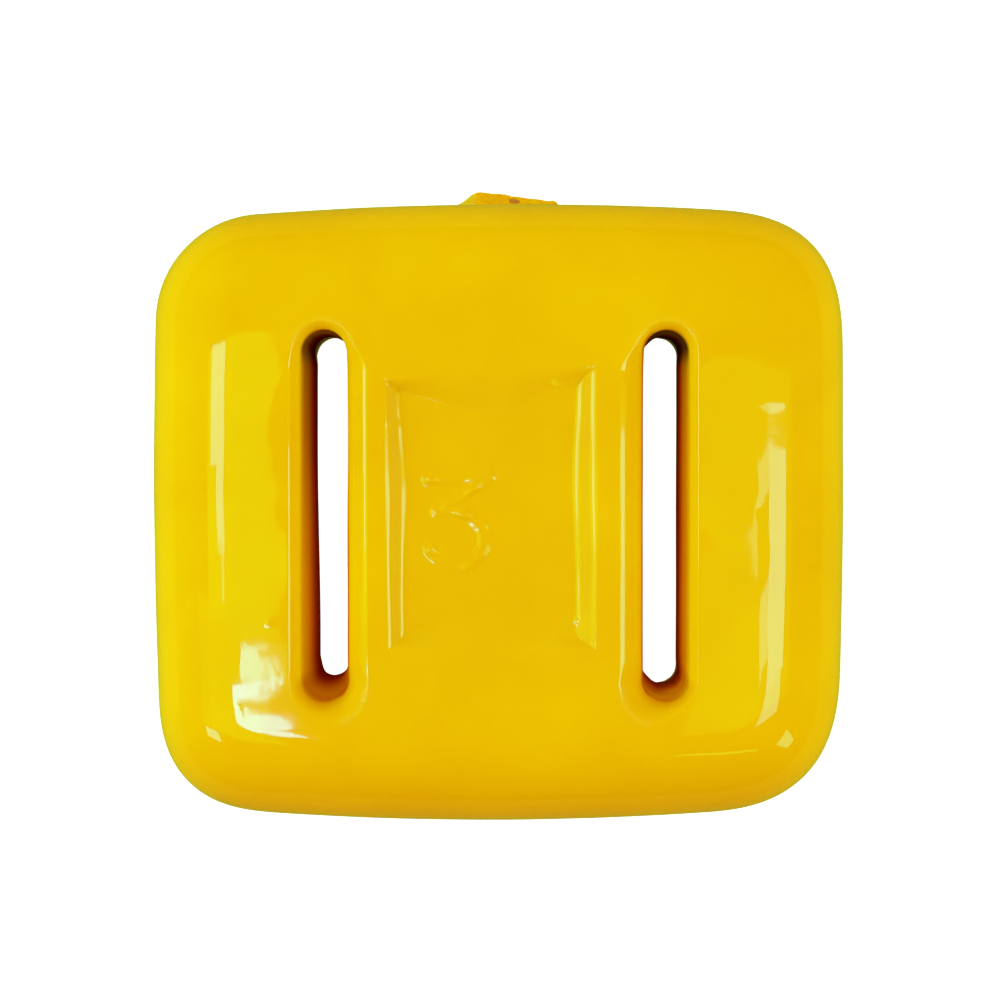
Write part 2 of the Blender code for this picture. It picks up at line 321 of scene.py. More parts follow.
def settle(p, form, rounds=10, most=1.5):
    """Moves points onto the form's surface along its slope."""
    p = p.copy()
    going = np.arange(len(p))
    for _ in range(rounds):
        q = p[going]
        f = form(*q.T)
        off = np.abs(f) > 2e-4
        going, q, f = going[off], q[off], f[off]
        if not len(going):
            break
        g = slope_of(form, q)
        step = -(f / np.maximum((g * g).sum(axis=1), 0.05))[:, None] * g
        far = np.linalg.norm(step, axis=1)
        p[going] = q + step * np.minimum(1.0, most / np.maximum(far, 1e-9))[:, None]
    return p


# ---------------------------------------------------------------- the mesh
FRONT_45 = FRONT_R * (1 - 0.5 ** (1 / EDGE))
BACK_45 = BACK_R * (1 - 0.5 ** (1 / EDGE))
RIM_45 = 1 - 0.5 ** (1 / RIM_EDGE)
LOBE, SLOT_CELLS, BAR, FRAME, SLOT_ROWS = 6, 4, 14, 5, 18
COLUMNS = LOBE + 1 + SLOT_CELLS + 1 + BAR + 1 + SLOT_CELLS + 1 + LOBE
ROWS = FRAME + 1 + 1 + SLOT_ROWS + 1 + 1 + FRAME
SLOT_I = (LOBE + 1, LOBE + 1 + SLOT_CELLS + 1 + BAR + 1)  # first column line of each slot
SLOT_J = (FRAME + 1, FRAME + 1 + SLOT_ROWS + 2)  # first and last row line of both


def at_depth(x, y, q):
    """The points on the rays through (x, y) that lie q inside the outline."""
    low, high = np.full(np.shape(x), 0.5), np.full(np.shape(x), 1.6)
    for _ in range(40):
        mid = (low + high) / 2
        inside = side_depth(x * mid, y * mid) > q
        low, high = np.where(inside, mid, low), np.where(inside, high, mid)
    return x * low, y * low


def slot_ring(k, grow):
    """{(i, j): (x, y)} for the grid points round slot k, grow times the rim rounding outside its wall."""
    i0, (j0, j1) = SLOT_I[k], SLOT_J
    found = {}

    def put(i, j, dx, dy):
        inward = (1 if k == 0 else -1) * dx * SLOT_R[k]
        rim = RIM_OUT[k] + (RIM_IN[k] - RIM_OUT[k]) * float(smoothstep(0.5 + inward / 8))
        rim = rim + (1.25 - rim) * float(smoothstep((dy[0] + dy[1] * SLOT_R[k] - 22.0) / 5.0))
        r = SLOT_R[k] + grow * rim
        found[(i, j)] = (SLOT_X[k] + dx * r, SLOT_Y + dy[0] + dy[1] * r)

    for c in range(SLOT_CELLS + 1):
        turn = math.radians(150 - 120 * c / SLOT_CELLS)
        put(i0 + c, j1, math.cos(turn), (SLOT_REACH, math.sin(turn)))
        put(i0 + c, j0, math.cos(turn), (-SLOT_REACH, -math.sin(turn)))
    for c in range(SLOT_ROWS + 1):
        y = -SLOT_REACH + 2 * SLOT_REACH * c / SLOT_ROWS
        put(i0, j0 + 1 + c, -1.0, (y, 0.0))
        put(i0 + SLOT_CELLS, j0 + 1 + c, 1.0, (y, 0.0))
    return found


def in_slot(i, j):
    """Whether the cell at (i, j) is inside a slot."""
    return SLOT_J[0] <= j < SLOT_J[1] and any(s <= i < s + SLOT_CELLS for s in SLOT_I)


def perimeter():
    """The grid points round the sheet, anticlockwise from the lower left."""
    return (
        [(i, 0) for i in range(COLUMNS)]
        + [(COLUMNS, j) for j in range(ROWS)]
        + [(i, ROWS) for i in range(COLUMNS, 0, -1)]
        + [(0, j) for j in range(ROWS, 0, -1)]
    )


def spread_lines():
    """The straight positions that the sheet's columns and rows start from."""
    def steps(stops, counts):
        line = [stops[0]]
        for a, b, n in zip(stops, stops[1:], counts):
            line += [a + (b - a) * (c + 1) / n for c in range(n)]
        return line
    wide, rim = SLOT_R[0] + 0.8, 2.7
    xs = steps(
        [-50.6, SLOT_X[0] - wide - rim, SLOT_X[0] - wide, SLOT_X[0] + wide, SLOT_X[0] + wide + rim,
         SLOT_X[1] - wide - rim, SLOT_X[1] - wide, SLOT_X[1] + wide, SLOT_X[1] + wide + rim, 50.6],
        [LOBE, 1, SLOT_CELLS, 1, BAR, 1, SLOT_CELLS, 1, LOBE],
    )
    end = SLOT_REACH + wide
    ys = steps(
        [-44.8, SLOT_Y - end - rim, SLOT_Y - end, SLOT_Y - SLOT_REACH, SLOT_Y + SLOT_REACH, SLOT_Y + end, SLOT_Y + end + rim, 44.8],
        [FRAME, 1, 1, SLOT_ROWS, 1, 1, FRAME],
    )
    return xs, ys


def sheet_plan(edge_depth):
    """The plan of one face's grid: its edge lies edge_depth inside the outline, its holes round the slots, the rest eased between."""
    xs, ys = spread_lines()
    p = np.array([[(x, y) for y in ys] for x in xs])
    fixed = np.zeros(p.shape[:2], bool)
    ring = tuple(np.array(perimeter()).T)
    u, v = p[ring].T / [[abs(xs[0])], [abs(ys[0])]]
    p[ring] = np.array(at_depth(u * HALF_W * 0.93, v * HALF_H * 0.93, edge_depth)).T
    fixed[ring] = True
    for k in (0, 1):
        for (i, j), at in slot_ring(k, RIM_45).items():
            p[i, j] = at
            fixed[i, j] = True
        for i in range(SLOT_I[k] + 1, SLOT_I[k] + SLOT_CELLS):
            fixed[i, SLOT_J[0] + 1 : SLOT_J[1]] = True
    for _ in range(400):
        mean = (p[:-2, 1:-1] + p[2:, 1:-1] + p[1:-1, :-2] + p[1:-1, 2:]) / 4
        inner = p[1:-1, 1:-1]
        inner[~fixed[1:-1, 1:-1]] = mean[~fixed[1:-1, 1:-1]]
    return p


def form_cage():
    """The whole form's cage: (points, quads) of the two faces, the side wall and the slots' walls."""
    points, faces, index = [], [], {}

    def put(key, at):
        index[key] = len(points)
        points.append(at)

    front, back = sheet_plan(FRONT_45), sheet_plan(BACK_45)
    holes = {(i, j) for k in (0, 1) for i in range(SLOT_I[k] + 1, SLOT_I[k] + SLOT_CELLS) for j in range(SLOT_J[0] + 1, SLOT_J[1])}
    for name, plan, z in (("front", front, THICK), ("back", back, 0.0)):
        for i in range(COLUMNS + 1):
            for j in range(ROWS + 1):
                if (i, j) not in holes:
                    put((name, i, j), (*plan[i, j], z))
        for i in range(COLUMNS):
            for j in range(ROWS):
                if not in_slot(i, j):
                    ring = [(i, j), (i + 1, j), (i + 1, j + 1), (i, j + 1)]
                    faces.append([index[(name, *c)] for c in (ring if name == "front" else ring[::-1])])
    # side wall: down the front rounding, the straight part and the back rounding
    arc = [math.pi / 4 * (1 - c / 4) for c in range(1, 5)]
    rows = [(FRONT_R * (1 - math.cos(a) ** (2 / EDGE)), THICK - FRONT_R * (1 - math.sin(a) ** (2 / EDGE))) for a in arc]
    rows += [(0.0, THICK - FRONT_R + (BACK_R - THICK + FRONT_R) * c / 4) for c in range(1, 5)]
    rows += [(BACK_R * (1 - math.cos(a) ** (2 / EDGE)), BACK_R * (1 - math.sin(a) ** (2 / EDGE))) for a in (math.pi / 12, math.pi / 6)]
    ring = perimeter()
    edge = front[tuple(np.array(ring).T)].T
    for m, (q, z) in enumerate(rows, 1):
        for c, at in enumerate(np.array(at_depth(*edge, q)).T):
            put(("side", c, m), (*at, z))
    for c, (i, j) in enumerate(ring):
        index[("side", c, 0)] = index[("front", i, j)]
        index[("side", c, len(rows) + 1)] = index[("back", i, j)]
    for m in range(len(rows) + 1):
        for c in range(len(ring)):
            d = (c + 1) % len(ring)
            faces.append([index[("side", c, m)], index[("side", c, m + 1)], index[("side", d, m + 1)], index[("side", d, m)]])
    # slots' walls
    for k in (0, 1):
        i0, i1, (j0, j1) = SLOT_I[k], SLOT_I[k] + SLOT_CELLS, SLOT_J
        loop = [(i, j0) for i in range(i0, i1)] + [(i1, j) for j in range(j0, j1)] + [(i, j1) for i in range(i1, i0, -1)] + [(i0, j) for j in range(j1, j0, -1)]
        wall = slot_ring(k, 0.0)
        heights = [THICK - 2.9 - (THICK - 5.8) * c / 10 for c in range(11)]
        for m, z in enumerate(heights, 1):
            for c, at in enumerate(loop):
                put((k, c, m), (*wall[at], z))
        for c, at in enumerate(loop):
            index[(k, c, 0)] = index[("front", *at)]
            index[(k, c, len(heights) + 1)] = index[("back", *at)]
        for m in range(len(heights) + 1):
            for c in range(len(loop)):
                d = (c + 1) % len(loop)
                faces.append([index[(k, c, m)], index[(k, d, m)], index[(k, d, m + 1)], index[(k, c, m + 1)]])
    return np.array(points), faces


def cut_finer(points, faces, wanted, form):
    """A mesh of the cage whose faces are halved as often as wanted() says for each, settled on the form after every cut."""
    bm = bmesh.new()
    verts = [bm.verts.new(c) for c in points]
    mark = bm.faces.layers.int.new("cuts")
    for f in faces:
        bm.faces.new([verts[i] for i in f])
    bm.faces.ensure_lookup_table()
    centres = np.array([f.calc_center_median() for f in bm.faces])
    level = np.asarray(wanted(*centres.T), int)
    bm.faces.index_update()
    near = [[g.index for e in f.edges for g in e.link_faces if g is not f] for f in bm.faces]
    for _ in range(level.max()):
        level = np.array([max(a, max(level[n]) - 1) for a, n in zip(level, near)])
    for f, a in zip(bm.faces, level):
        f[mark] = int(a)

    def place():
        p = settle(np.array([v.co for v in bm.verts]), form)
        for v, c in zip(bm.verts, p):
            v.co = c

    place()
    for cut in range(1, level.max() + 1):
        edges = {e for f in bm.faces if f[mark] >= cut for e in f.edges}
        bmesh.ops.subdivide_edges(bm, edges=list(edges), cuts=1, use_grid_fill=True)
        place()
    return bm


def skin_cuts(x, y, z):
    """How often each face of the skin's cage is halved."""
    depth = side_depth(x, y)
    rim = np.minimum(*[np.abs(slot_field(x, y, k)[0]) for k in (0, 1)])
    inward = np.abs(x + 0.3) < 25.5
    level = np.where(z > 6.0, 2, 1)
    level = np.where((depth > 3.0) & (z < 31.0) & (z > 3.5), 1, level)  # down the slots
    level = np.where((z > 30.0) & (rim < 3.2), 3, level)
    level = np.where((z < 6.0) & (rim < 2.6), 2, level)
    level = np.where((z > 32.0) & (np.abs(x - PANEL_X) < PANEL_W + 2.5) & (np.abs(y - PANEL_Y) < PANEL_H + 2.5), 3, level)
    level = np.where((z > 32.0) & (np.abs(x + 5.9) < 6.6) & (np.abs(y + 1.2) < 8.6), 4, level)
    level = np.where((z > 32.0) & (np.abs(x + 37.0) < 6.0) & (np.abs(y + 22.0) < 8.0), 3, level)
    level = np.where((y > 44.0) & (x > -9.5) & (x < 12.0) & (z > 10.0) & (z < 21.5), 4, level)
    return level


def open_hole(bm, radius, form):
    """Removes the faces round the wire where it comes out and rounds the edge left behind. Gives its edges."""
    bm.verts.ensure_lookup_table()
    gone = [f for f in bm.faces if (c := f.calc_center_median()).y > 40 and math.hypot(c.x - WIRE_X, c.z - WIRE_Z) < radius * 0.98]
    bmesh.ops.delete(bm, geom=gone, context="FACES")
    edges = [e for e in bm.edges if e.is_boundary]
    rim = list({v for e in edges for v in e.verts})
    for _ in range(4):
        for v in rim:
            u, w = v.co.x - WIRE_X, v.co.z - WIRE_Z
            r = math.hypot(u, w)
            v.co.x, v.co.z = WIRE_X + u / r * radius, WIRE_Z + w / r * radius
        # keep them on the form without leaving the circle
        p = np.array([v.co for v in rim])
        for _ in range(6):
            f = form(*p.T)
            g = (form(p[:, 0], p[:, 1] + 0.02, p[:, 2]) - form(p[:, 0], p[:, 1] - 0.02, p[:, 2])) / 0.04
            p[:, 1] -= np.clip(f / np.where(np.abs(g) < 0.2, 0.2, g), -0.5, 0.5)
        for v, c in zip(rim, p):
            v.co.y = c[1]
    return edges


def wire_path(extra=0.0):
    """The hanging wire's centre line from its cut end down into the casting and round its hook."""
    top = TOP_EDGE + 2.4
    low = TOP_EDGE - WIRE_DEPTH
    path = [(WIRE_X, top), (WIRE_X, TOP_EDGE - 1.0), (WIRE_X, TOP_EDGE - 5.0), (WIRE_X, TOP_EDGE - 10.0), (WIRE_X, low + WIRE_BEND)]
    for c in range(1, 9):
        turn = math.pi / 2 * c / 8
        path.append((WIRE_X - WIRE_BEND * (1 - math.cos(turn)), low + WIRE_BEND * (1 - math.sin(turn))))
    path.append((WIRE_X - WIRE_HOOK - extra, low))
    return path


def tube_rings(bm, path, radius, sides):
    """Rings of vertices round a path that lies in the plane z = WIRE_Z."""
    rings = []
    for n, (x, y) in enumerate(path):
        a, b = path[max(n - 1, 0)], path[min(n + 1, len(path) - 1)]
        tx, ty = b[0] - a[0], b[1] - a[1]
        size = math.hypot(tx, ty)
        nx, ny = ty / size, -tx / size
        ring = []
        for c in range(sides):
            a = 2 * math.pi * c / sides
            ring.append(bm.verts.new((x + nx * radius * math.cos(a), y + ny * radius * math.cos(a), WIRE_Z + radius * math.sin(a))))
        rings.append(ring)
    return rings


def bridge(bm, a, b):
    for c in range(len(a)):
        d = (c + 1) % len(a)
        bm.faces.new([a[c], a[d], b[d], b[c]])


def finish_piece(name, bm, form=None, smooth_angle=40.0):
    """Turns the mesh into an object in metres, with the form's own normals where it lies on the form."""
    bmesh.ops.remove_doubles(bm, verts=list(bm.verts), dist=1e-5)
    bmesh.ops.recalc_face_normals(bm, faces=list(bm.faces))
    bm.verts.index_update()
    mesh = bpy.data.meshes.new(name)
    bm.to_mesh(mesh)
    bm.free()
    mesh.shade_smooth()
    mesh.set_sharp_from_angle(angle=math.radians(smooth_angle))
    if form is not None:
        p = np.empty(len(mesh.vertices) * 3, np.float32)
        mesh.vertices.foreach_get("co", p)
        p = p.reshape(-1, 3).astype(float)
        on = np.abs(form(*p.T)) < 0.01
        normal = np.zeros_like(p)
        g = slope_of(form, p[on])
        normal[on] = g / np.linalg.norm(g, axis=1)[:, None]
        mesh.normals_split_custom_set_from_vertices([tuple(n) for n in normal])
    mesh.transform(Matrix.Scale(MM, 4))
    made = bpy.data.objects.new(name, mesh)
    bpy.context.scene.collection.objects.link(made)
    return made


def skin_mesh():
    """The dipped skin: outer surface, inner wall, and the round hole that the wire comes out of."""
    points, faces = form_cage()
    outer = cut_finer(points, faces, skin_cuts, skin)
    open_hole(outer, WIRE_R + 0.02, skin)
    inner_points = settle(points, lining, 14)
    near_wire = lambda x, y, z: np.where((y > 40.0) & (np.abs(x - WIRE_X) < 4.0) & (np.abs(z - WIRE_Z) < 4.0), 3, 0)
    inner = cut_finer(inner_points, faces, near_wire, lining)
    open_hole(inner, WIRE_R + 0.02, lining)
    bmesh.ops.reverse_faces(inner, faces=list(inner.faces))
    held = bpy.data.meshes.new("held")
    inner.to_mesh(held)
    inner.free()
    outer.from_mesh(held)
    bpy.data.meshes.remove(held)
    bmesh.ops.bridge_loops(outer, edges=[e for e in outer.edges if e.is_boundary])
    return outer


def casting_mesh():
    """The lead block: the form inset under the skin, with the hole that the wire was cast into."""
    points, faces = form_cage()
    near_wire = lambda x, y, z: np.where((y > 40.0) & (np.abs(x - WIRE_X) < 4.5) & (np.abs(z - WIRE_Z) < 4.5), 3, 1)
    bm = cut_finer(settle(points, casting, 14), faces, near_wire, casting)
    edges = open_hole(bm, WIRE_R + 0.3, casting)
    path = [(x, y) for x, y in wire_path(0.3) if y < TOP_EDGE - 3.0]
    rings = tube_rings(bm, path, WIRE_R + 0.3, 24)
    for a, b in zip(rings, rings[1:]):
        bridge(bm, a, b)
    bm.faces.new(rings[-1])
    first = [e for e in bm.edges if e.is_boundary and e.verts[0] in rings[0] and e.verts[1] in rings[0]]
    bmesh.ops.bridge_loops(bm, edges=edges + first)
    return bm


def wire_mesh():
    """The hanging wire: cut off flush with the stub's slanting face, bent into a hook inside the lead."""
    bm = bmesh.new()
    rings = tube_rings(bm, wire_path(), WIRE_R, 24)
    top = rings[0]

    def cut_height(x, z):
        one = lambda v: np.array([float(v)])
        y = TOP_EDGE + 0.5
        for _ in range(20):
            y -= float(skin(one(x), one(y), one(z))[0])
        return y - 0.05

    for v in top:
        v.co.y = cut_height(v.co.x, v.co.z)
    loops = [top]
    for share in (0.93, 0.6, 0.3):
        loop = []
        for v in top:
            x, z = WIRE_X + (v.co.x - WIRE_X) * share, WIRE_Z + (v.co.z - WIRE_Z) * share
            pinch = 0.05 * math.sin(3.0 * math.atan2(z - WIRE_Z, x - WIRE_X)) * share + 0.05 * (1 - share)
            loop.append(bm.verts.new((x, cut_height(x, z) + (0.03 if share == 0.93 else pinch), z)))
        loops.append(loop)
    for a, b in zip(loops[1:], loops):
        bridge(bm, a, b)
    bm.faces.new(loops[-1][::-1])
    for a, b in zip(rings, rings[1:]):
        bridge(bm, a, b)
    bm.faces.new(rings[-1])
    return bm


# ---------------------------------------------------------------- materials
class Nodes:
    """A small helper to wire up a material."""

    def __init__(self, name):
        self.mat = bpy.data.materials.new(name)
        self.mat.use_nodes = True
        self.tree = self.mat.node_tree
        self.shader = self.tree.nodes["Principled BSDF"]
        self.out = self.tree.nodes["Material Output"]

    def add(self, kind, values=(), **settings):
        node = self.tree.nodes.new(kind)
        for key, value in settings.items():
            setattr(node, key, value)
        for key, value in dict(values).items():
            if isinstance(value, bpy.types.NodeSocket):
                self.tree.links.new(value, node.inputs[key])
            else:
                node.inputs[key].default_value = value
        return node

    def link(self, a, b):
        self.tree.links.new(a, b)

    def place(self, scale):
        """Object coordinates, in millimetres over scale."""
        coords = self.add("ShaderNodeTexCoord").outputs["Object"]
        return self.add("ShaderNodeMapping", {"Vector": coords, "Scale": (1000 / scale,) * 3}).outputs["Vector"]

    def noise(self, size, detail=3.0, roughness=0.5, distortion=0.0, shift=0.0):
        """A noise whose features are about size millimetres across."""
        coords = self.add("ShaderNodeTexCoord").outputs["Object"]
        at = self.add("ShaderNodeMapping", {"Vector": coords, "Scale": (1000 / size,) * 3, "Location": (shift, shift * 0.7, -shift)})
        return self.add("ShaderNodeTexNoise", {"Vector": at.outputs["Vector"], "Scale": 1.0, "Detail": detail, "Roughness": roughness, "Distortion": distortion}).outputs["Fac"]

    def ramp(self, value, low, high, a=0.0, b=1.0):
        return self.add("ShaderNodeMapRange", {"Value": value, "From Min": low, "From Max": high, "To Min": a, "To Max": b}, clamp=True).outputs["Result"]

    def steps(self, value, stops):
        """A colour that runs through the given stops, each a place and a colour."""
        node = self.add("ShaderNodeValToRGB", {"Fac": value})
        line = node.color_ramp.elements
        while len(line) < len(stops):
            line.new(0.5)
        for mark, (at, colour) in zip(line, stops):
            mark.position = at
            mark.color = (*colour, 1)
        return node.outputs["Color"]

    def math(self, operation, a, b=0.0):
        return self.add("ShaderNodeMath", {0: a, 1: b}, operation=operation).outputs["Value"]

    def mix(self, share, a, b):
        node = self.add("ShaderNodeMix", data_type="RGBA")
        for socket, value in zip((node.inputs[0], node.inputs[6], node.inputs[7]), (share, a, b)):
            if isinstance(value, bpy.types.NodeSocket):
                self.link(value, socket)
            else:
                socket.default_value = value
        return node.outputs[2]

    def bump(self, height, distance, strength=1.0, under=None):
        values = {"Height": height, "Distance": distance, "Strength": strength}
        if under is not None:
            values["Normal"] = under
        return self.add("ShaderNodeBump", values).outputs["Normal"]


def skin_material():
    """Thick glossy yellow plastisol: an even colour with slow drifts, faint flow marks, pinholes, faint scuffs in its
    gloss, and a matt cut face on the stub.
    """
    n = Nodes("yellow_plastisol")
    drift = n.ramp(n.noise(26.0, 2.0), 0.35, 0.65)
    colour = n.mix(drift, (0.925, 0.417, 0.0004, 1), (0.955, 0.453, 0.0005, 1))
    mottle = n.ramp(n.noise(5.5, 3.0, shift=4.0), 0.40, 0.72)
    colour = n.mix(n.math("MULTIPLY", mottle, 0.20), colour, (0.900, 0.365, 0.0003, 1))
    # a little deeper in colour towards the lower edge
    at = n.add("ShaderNodeSeparateXYZ", {"Vector": n.place(1.0)})
    low = n.ramp(at.outputs["Y"], -30.0, -47.0, 0.0, 0.45)
    colour = n.mix(low, colour, (0.915, 0.335, 0.0003, 1))
    # painted shade: down the slots the colour darkens and reddens with depth, standing in for the little light that
    # comes there, and the skin has no sheen
    slot = n.add("ShaderNodeAttribute", attribute_name="slot").outputs["Fac"]
    height = at.outputs["Z"]
    wall = n.steps(n.ramp(height, 0.0, 35.0), [
        (0.09, (0.52, 0.055, 0.0003)), (0.23, (0.66, 0.095, 0.0003)), (0.37, (0.84, 0.195, 0.0003)),
        (0.51, (0.92, 0.360, 0.0003)), (0.69, (0.95, 0.520, 0.0004)), (0.90, (0.93, 0.450, 0.0004)),
    ])
    # painted shade: darker and redder where the slots get less light, near black at their upper ends
    painted_shade = n.add("ShaderNodeAttribute", attribute_name="painted_shade").outputs["Fac"]
    wall = n.mix(painted_shade, wall, (0.55, 0.015, 0.0002, 1))
    ends = n.add("ShaderNodeAttribute", attribute_name="ends").outputs["Fac"]
    wall = n.mix(ends, wall, (0.03, 0.002, 0.0001, 1))
    colour = n.mix(slot, colour, wall)
    cut = n.add("ShaderNodeAttribute", attribute_name="cut").outputs["Fac"]
    fibre = n.noise(0.9, 4.0, 0.6, 0.4, shift=9.0)
    raw = n.mix(n.ramp(fibre, 0.35, 0.65), (0.93, 0.33, 0.0005, 1), (0.97, 0.50, 0.001, 1))
    colour = n.mix(cut, colour, raw)
    # pinholes where bubbles broke in the dip; the dark in them is painted shade in the pits
    cells = n.add("ShaderNodeTexVoronoi", {"Vector": n.place(7.0), "Scale": 1.0, "Randomness": 1.0})
    chosen = n.math("GREATER_THAN", n.add("ShaderNodeSeparateColor", {"Color": cells.outputs["Color"]}).outputs["Red"], 0.84)
    hole = n.math("MULTIPLY", n.ramp(cells.outputs["Distance"], 0.022, 0.006), chosen)
    colour = n.mix(n.math("MULTIPLY", hole, 0.6), colour, (0.30, 0.12, 0.002, 1))
    n.link(colour, n.shader.inputs["Base Color"])
    # painted light: the slots' walls glow a little, as if the soft skin let light through to them; the glow is weaker
    # where the painted shade is
    lit = n.steps(n.ramp(height, 0.0, 35.0), [
        (0.20, (0.06, 0.004, 0)), (0.31, (0.18, 0.015, 0)), (0.43, (0.48, 0.14, 0)), (0.54, (0.66, 0.36, 0)),
        (0.66, (0.66, 0.42, 0)), (0.77, (0.58, 0.42, 0)), (0.88, (0.26, 0.15, 0)), (0.95, (0, 0, 0)),
    ])
    n.link(lit, n.shader.inputs["Emission Color"])
    n.link(n.math("MULTIPLY", n.math("SUBTRACT", slot, n.math("MAXIMUM", n.math("MULTIPLY", painted_shade, 0.9), ends)), 0.165), n.shader.inputs["Emission Strength"])
    smear = n.ramp(n.noise(9.0, 5.0, 0.6, shift=2.0), 0.30, 0.75, 0.018, 0.045)
    scratch = n.ramp(n.noise(0.6, 2.0, shift=7.0), 0.55, 0.75, 0.0, 0.015)
    rough = n.math("ADD", smear, scratch)
    in_panel = n.math("MULTIPLY", n.ramp(n.math("ABSOLUTE", at.outputs["X"]), 20.0, 16.0), n.ramp(n.math("ABSOLUTE", at.outputs["Y"]), 26.0, 22.0))
    rough = n.math("ADD", rough, n.math("MULTIPLY", in_panel, 0.045))
    dull = n.add("ShaderNodeAttribute", attribute_name="dull").outputs["Fac"]
    rough = n.math("ADD", rough, n.math("MULTIPLY", dull, 0.15))
    n.link(n.math("MAXIMUM", rough, n.math("MULTIPLY", cut, 0.55)), n.shader.inputs["Roughness"])
    n.shader.inputs["IOR"].default_value = 1.5
    n.link(n.ramp(n.math("MAXIMUM", slot, cut), 0.0, 1.0, 0.5, 0.0), n.shader.inputs["Specular IOR Level"])
    peel = n.bump(n.noise(1.6, 2.0, shift=1.0), 0.000002)
    marks = n.bump(fibre, 0.00012, under=peel)
    holes = n.bump(hole, 0.00012, under=peel)
    holes.node.invert = True
    blend = n.add("ShaderNodeMix", data_type="VECTOR")
    n.link(cut, blend.inputs[0])
    n.link(holes, blend.inputs[4])
    n.link(marks, blend.inputs[5])
    n.link(blend.outputs[1], n.shader.inputs["Normal"])
    return n.mat


def lead_material():
    """As-cast lead: dull blue-grey, blotched with oxide, finely rough from the mould."""
    n = Nodes("cast_lead")
    blotch = n.ramp(n.noise(11.0, 5.0, 0.6), 0.35, 0.68)
    colour = n.mix(blotch, (0.20, 0.21, 0.23, 1), (0.42, 0.43, 0.45, 1))
    bloom = n.ramp(n.noise(2.3, 4.0, 0.6, shift=3.0), 0.55, 0.75)
    colour = n.mix(n.math("MULTIPLY", bloom, 0.5), colour, (0.60, 0.60, 0.58, 1))
    n.link(colour, n.shader.inputs["Base Color"])
    n.shader.inputs["Metallic"].default_value = 0.75
    n.link(n.ramp(n.noise(6.0, 4.0, shift=5.0), 0.3, 0.7, 0.45, 0.72), n.shader.inputs["Roughness"])
    n.link(n.bump(n.noise(0.7, 5.0, 0.65), 0.00006), n.shader.inputs["Normal"])
    return n.mat


def wire_material():
    """Steel wire, drawn along its length, rusty where the water reaches its cut end."""
    n = Nodes("rusty_wire")
    height = n.add("ShaderNodeSeparateXYZ", {"Vector": n.place(1.0)}).outputs["Y"]
    rust = n.ramp(height, 44.0, 48.6)
    grain = n.noise(0.5, 5.0, 0.7, shift=6.0)
    red = n.mix(n.ramp(grain, 0.35, 0.65), (0.50, 0.095, 0.002, 1), (0.76, 0.22, 0.004, 1))
    n.link(n.mix(rust, (0.50, 0.49, 0.47, 1), red), n.shader.inputs["Base Color"])
    n.link(n.math("SUBTRACT", 1.0, rust), n.shader.inputs["Metallic"])
    n.link(n.ramp(rust, 0.0, 1.0, 0.32, 0.85), n.shader.inputs["Roughness"])
    n.link(n.bump(grain, 0.00012), n.shader.inputs["Normal"])
    return n.mat


# ---------------------------------------------------------------- the pieces
def add_piece(name, bm, form, material, node):
    made = finish_piece(name, bm, form)
    made.data.materials.append(material)
    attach(made, "root")
    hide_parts(node)
    return made


coat = add_piece("dipped_skin", skin_mesh(), skin, skin_material(), "pvc_coating")
lead = add_piece("cast_block", casting_mesh(), casting, lead_material(), "lead_core")
wire = add_piece("cut_wire", wire_mesh(), None, wire_material(), "hanger_wire")

# where the stub was cut, the skin is matt
co = np.empty(len(coat.data.vertices) * 3, np.float32)
coat.data.vertices.foreach_get("co", co)
px, py, pz = co.reshape(-1, 3).T.astype(float) / MM
stands = stub(px, pz) * (py > 44.0)
faces_up = smoothstep((pz - STUB_BACK + 0.15) / 0.3)
in_line = smoothstep((px + 4.4) / 0.8) * smoothstep((9.6 - px) / 0.4)
cut_share = smoothstep((stands - 0.10) / 0.12) * faces_up * in_line
coat.data.attributes.new("cut", "FLOAT", "POINT").data.foreach_set("value", cut_share.astype(np.float32))
# and down the slots' walls it gets the painted shade and glow of the material
in_wall = np.maximum(slot_field(px, py, 0)[0], slot_field(px, py, 1)[0])
upper_end = smoothstep((py - SLOT_Y - 23.5) / 3.0)
lower_end = smoothstep((SLOT_Y - py - 23.5) / 3.0)
reach = 0.9 + 1.4 * smoothstep((30.0 - pz) / 6.0) + 0.9 * upper_end + 1.3 * lower_end
slot_share = smoothstep((in_wall + reach) / (0.8 + 0.9 * upper_end + 1.3 * lower_end)) * smoothstep((pz - 0.5) / 2.0)
coat.data.attributes.new("slot", "FLOAT", "POINT").data.foreach_set("value", slot_share.astype(np.float32))
# painted shade: redder and darker at their ends and towards the top, more so in the left one, dark at the top, and
# round the rims of their lower ends
side_painted_shade = np.where(px < 0, 0.44, 0.04) * smoothstep((py + 14.0) / 34.0) * smoothstep((34.5 - pz) / 9.0)
end_painted_shade = 0.50 * upper_end * smoothstep((34.0 - pz) / 6.0)
lower_painted_shade = np.interp(pz, [0, 10, 14, 20, 24, 27, 31, 34], [0.74, 0.76, 0.74, 0.72, 0.62, 0.54, 0.60, 0.42]) * np.where(px < 0, 1.08, 0.94)
end_painted_shade = end_painted_shade + lower_end * lower_painted_shade * smoothstep((in_wall + 0.30) / 0.50)
end_rim_shade = 0.37 * lower_end * smoothstep((in_wall + 2.4) / 2.6) * smoothstep((pz - 26.0) / 4.0)
